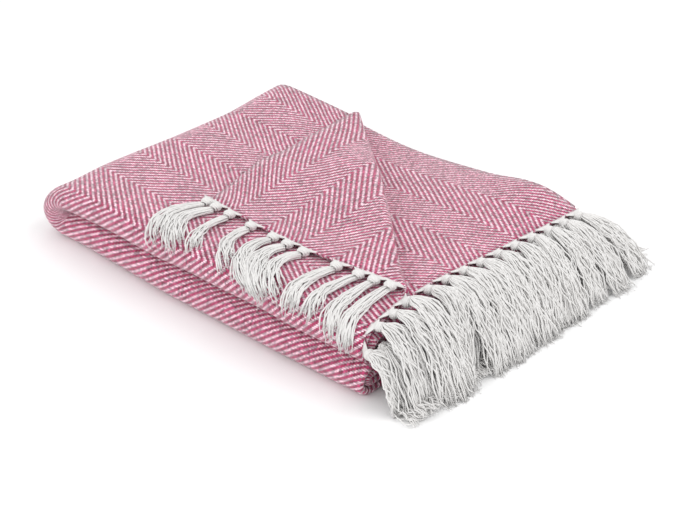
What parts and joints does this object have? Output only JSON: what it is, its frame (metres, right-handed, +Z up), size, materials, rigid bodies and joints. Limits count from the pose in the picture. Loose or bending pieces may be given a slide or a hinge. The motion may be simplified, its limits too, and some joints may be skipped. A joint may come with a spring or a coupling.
{
  "type": "folded cotton blanket",
  "caption": "Cotton throw folded into a flat pack, herringbone weave in two colours, with a knotted tassel fringe along both ends and one corner of the top ply turned back.",
  "frame": {"origin": "middle of the footprint, on the surface that the folded throw lies on", "axes": "+X towards the fringed end of the pack, -Y towards the long front fold, +Z up"},
  "size_m": [0.5204, 0.3698, 0.0824],
  "materials": {
    "herringbone_cotton": "two-colour twill cotton, white warp and pink weft in herringbone columns, matt and slightly fuzzy",
    "fringe_yarn": "white twisted cotton yarn, matt, in knotted tassels"
  },
  "bodies": {
    "root": {"blanket": "herringbone_cotton", "fringe_flap": "fringe_yarn", "fringe_front": "fringe_yarn", "fringe_second": "fringe_yarn", "fringe_row_3": "fringe_yarn", "fringe_row_4": "fringe_yarn", "fringe_row_5": "fringe_yarn", "fringe_row_6": "fringe_yarn", "fringe_row_7": "fringe_yarn", "fringe_row_8": "fringe_yarn"}
  },
  "joints": []
}
